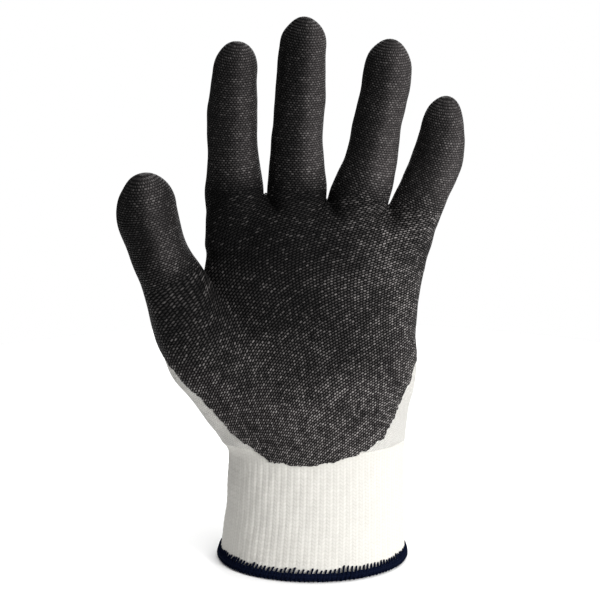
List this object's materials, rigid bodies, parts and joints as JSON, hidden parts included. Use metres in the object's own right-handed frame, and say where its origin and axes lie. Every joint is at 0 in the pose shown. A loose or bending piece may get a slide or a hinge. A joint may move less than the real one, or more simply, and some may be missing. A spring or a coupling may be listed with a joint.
{
  "type": "cut resistant glove",
  "caption": "Left-hand seamless knitted work glove with a coated palm, fingers and thumb, a ribbed elastic cuff and an overlocked hem, shown filled as when worn.",
  "frame": {"origin": "middle of the cuff mouth", "axes": "+Z from the cuff mouth to the fingertips, palm faces -Y, thumb towards -X"},
  "size_m": [0.1515, 0.065, 0.2509],
  "materials": {
    "knit": "matte",
    "coating": "satin",
    "hem": "matte",
    "elastic": "matte"
  },
  "bodies": {
    "cuff": {"cuff_knit": "knit", "cuff_hem": "hem", "cuff_elastic": "elastic"},
    "wrist": {"cuff_fold": "knit", "wrist_knit": "knit", "wrist_elastic": "elastic", "wrist_crease": "knit", "heel_coating": "coating"},
    "palm": {"palm_liner": "knit", "back_liner": "knit", "palm_coating": "coating"},
    "index_root": {"index_root_crease": "coating"},
    "index_lower": {"index_lower_liner": "knit", "index_lower_coating": "coating", "index_lower_crease": "coating"},
    "index_middle": {"index_middle_liner": "knit", "index_middle_coating": "coating", "index_middle_crease": "coating"},
    "index_tip": {"index_tip_liner": "knit", "index_tip_coating": "coating"},
    "middle_root": {"middle_root_crease": "coating"},
    "middle_lower": {"middle_lower_liner": "knit", "middle_lower_coating": "coating", "middle_lower_crease": "coating"},
    "middle_middle": {"middle_middle_liner": "knit", "middle_middle_coating": "coating", "middle_middle_crease": "coating"},
    "middle_tip": {"middle_tip_liner": "knit", "middle_tip_coating": "coating"},
    "ring_root": {"ring_root_crease": "coating"},
    "ring_lower": {"ring_lower_liner": "knit", "ring_lower_coating": "coating", "ring_lower_crease": "coating"},
    "ring_middle": {"ring_middle_liner": "knit", "ring_middle_coating": "coating", "ring_middle_crease": "coating"},
    "ring_tip": {"ring_tip_liner": "knit", "ring_tip_coating": "coating"},
    "little_root": {"little_root_crease": "coating"},
    "little_lower": {"little_lower_liner": "knit", "little_lower_coating": "coating", "little_lower_crease": "coating"},
    "little_middle": {"little_middle_liner": "knit", "little_middle_coating": "coating", "little_middle_crease": "coating"},
    "little_tip": {"little_tip_liner": "knit", "little_tip_coating": "coating"},
    "thumb_root": {"thumb_root_crease": "coating"},
    "thumb_lower": {"thumb_lower_liner": "knit", "thumb_lower_coating": "coating", "thumb_lower_crease": "coating"},
    "thumb_tip": {"thumb_tip_liner": "knit", "thumb_tip_coating": "coating"}
  },
  "joints": [
    {"name": "wrist_tilt", "type": "hinge", "parent": "cuff", "child": "wrist", "pos_m": [0.0016, 0, 0.032], "axis": [0, 1, 0], "range_deg": [-15, 15], "stiffness_Nm_per_rad": 0.15, "deforming": ["cuff_fold"]},
    {"name": "wrist_bend", "type": "hinge", "parent": "wrist", "child": "palm", "pos_m": [0.0014, 0, 0.062], "axis": [1, 0, 0], "range_deg": [-45, 45], "stiffness_Nm_per_rad": 0.12, "deforming": ["wrist_crease", "heel_coating"]},
    {"name": "index_spread", "type": "hinge", "parent": "palm", "child": "index_root", "pos_m": [-0.03499, -0.00626, 0.1757], "axis": [0, 1, 0], "range_deg": [-6, 6], "stiffness_Nm_per_rad": 0.02},
    {"name": "index_base_bend", "type": "hinge", "parent": "index_root", "child": "index_lower", "pos_m": [-0.03499, -0.00626, 0.1757], "axis": [0.9987, 0, 0.0505], "range_deg": [-15, 70], "stiffness_Nm_per_rad": 0.015, "deforming": ["index_root_crease"]},
    {"name": "index_middle_bend", "type": "hinge", "parent": "index_lower", "child": "index_middle", "pos_m": [-0.03569, -0.00737, 0.19436], "axis": [0.9999, 0, -0.0143], "range_deg": [0, 80], "stiffness_Nm_per_rad": 0.01, "deforming": ["index_lower_crease"]},
    {"name": "index_tip_bend", "type": "hinge", "parent": "index_middle", "child": "index_tip", "pos_m": [-0.03473, -0.01067, 0.21711], "axis": [0.9979, 0, -0.0642], "range_deg": [0, 45], "stiffness_Nm_per_rad": 0.006, "deforming": ["index_middle_crease"]},
    {"name": "middle_spread", "type": "hinge", "parent": "palm", "child": "middle_root", "pos_m": [-0.00766, -0.00641, 0.17573], "axis": [0, 1, 0], "range_deg": [-6, 6], "stiffness_Nm_per_rad": 0.02},
    {"name": "middle_base_bend", "type": "hinge", "parent": "middle_root", "child": "middle_lower", "pos_m": [-0.00766, -0.00641, 0.17573], "axis": [0.9996, 0, -0.0274], "range_deg": [-15, 70], "stiffness_Nm_per_rad": 0.015, "deforming": ["middle_root_crease"]},
    {"name": "middle_middle_bend", "type": "hinge", "parent": "middle_lower", "child": "middle_middle", "pos_m": [-0.00696, -0.00762, 0.19841], "axis": [0.9991, 0, -0.0421], "range_deg": [0, 80], "stiffness_Nm_per_rad": 0.01, "deforming": ["middle_lower_crease"]},
    {"name": "middle_tip_bend", "type": "hinge", "parent": "middle_middle", "child": "middle_tip", "pos_m": [-0.00554, -0.0109, 0.22528], "axis": [0.9976, 0, -0.0693], "range_deg": [0, 45], "stiffness_Nm_per_rad": 0.006, "deforming": ["middle_middle_crease"]},
    {"name": "ring_spread", "type": "hinge", "parent": "palm", "child": "ring_root", "pos_m": [0.02062, -0.0062, 0.17323], "axis": [0, -1, 0], "range_deg": [-6, 6], "stiffness_Nm_per_rad": 0.02},
    {"name": "ring_base_bend", "type": "hinge", "parent": "ring_root", "child": "ring_lower", "pos_m": [0.02062, -0.0062, 0.17323], "axis": [0.9632, 0, -0.2687], "range_deg": [-15, 70], "stiffness_Nm_per_rad": 0.015, "deforming": ["ring_root_crease"]},
    {"name": "ring_middle_bend", "type": "hinge", "parent": "ring_lower", "child": "ring_middle", "pos_m": [0.02594, -0.00735, 0.19344], "axis": [0.978, 0, -0.2086], "range_deg": [0, 80], "stiffness_Nm_per_rad": 0.01, "deforming": ["ring_lower_crease"]},
    {"name": "ring_tip_bend", "type": "hinge", "parent": "ring_middle", "child": "ring_tip", "pos_m": [0.0302, -0.01042, 0.2166], "axis": [0.9883, 0, -0.1524], "range_deg": [0, 45], "stiffness_Nm_per_rad": 0.006, "deforming": ["ring_middle_crease"]},
    {"name": "little_spread", "type": "hinge", "parent": "palm", "child": "little_root", "pos_m": [0.04626, -0.00593, 0.16718], "axis": [0, -1, 0], "range_deg": [-6, 6], "stiffness_Nm_per_rad": 0.02},
    {"name": "little_base_bend", "type": "hinge", "parent": "little_root", "child": "little_lower", "pos_m": [0.04626, -0.00593, 0.16718], "axis": [0.9292, 0, -0.3695], "range_deg": [-15, 70], "stiffness_Nm_per_rad": 0.015, "deforming": ["little_root_crease"]},
    {"name": "little_middle_bend", "type": "hinge", "parent": "little_lower", "child": "little_middle", "pos_m": [0.05182, -0.00726, 0.18281], "axis": [0.9667, 0, -0.2558], "range_deg": [0, 80], "stiffness_Nm_per_rad": 0.01, "deforming": ["little_lower_crease"]},
    {"name": "little_tip_bend", "type": "hinge", "parent": "little_middle", "child": "little_tip", "pos_m": [0.05526, -0.00948, 0.19828], "axis": [0.9935, 0, -0.114], "range_deg": [0, 45], "stiffness_Nm_per_rad": 0.006, "deforming": ["little_middle_crease"]},
    {"name": "thumb_spread", "type": "hinge", "parent": "palm", "child": "thumb_root", "pos_m": [-0.0638, -0.01587, 0.13652], "axis": [0, -1, 0], "range_deg": [-8, 8], "stiffness_Nm_per_rad": 0.02},
    {"name": "thumb_base_bend", "type": "hinge", "parent": "thumb_root", "child": "thumb_lower", "pos_m": [-0.0638, -0.01587, 0.13652], "axis": [0.9351, 0, 0.3545], "range_deg": [-15, 50], "stiffness_Nm_per_rad": 0.015, "deforming": ["thumb_root_crease"]},
    {"name": "thumb_tip_bend", "type": "hinge", "parent": "thumb_lower", "child": "thumb_tip", "pos_m": [-0.07031, -0.01741, 0.1572], "axis": [0.9757, 0, 0.219], "range_deg": [0, 60], "stiffness_Nm_per_rad": 0.008, "deforming": ["thumb_lower_crease"]}
  ]
}
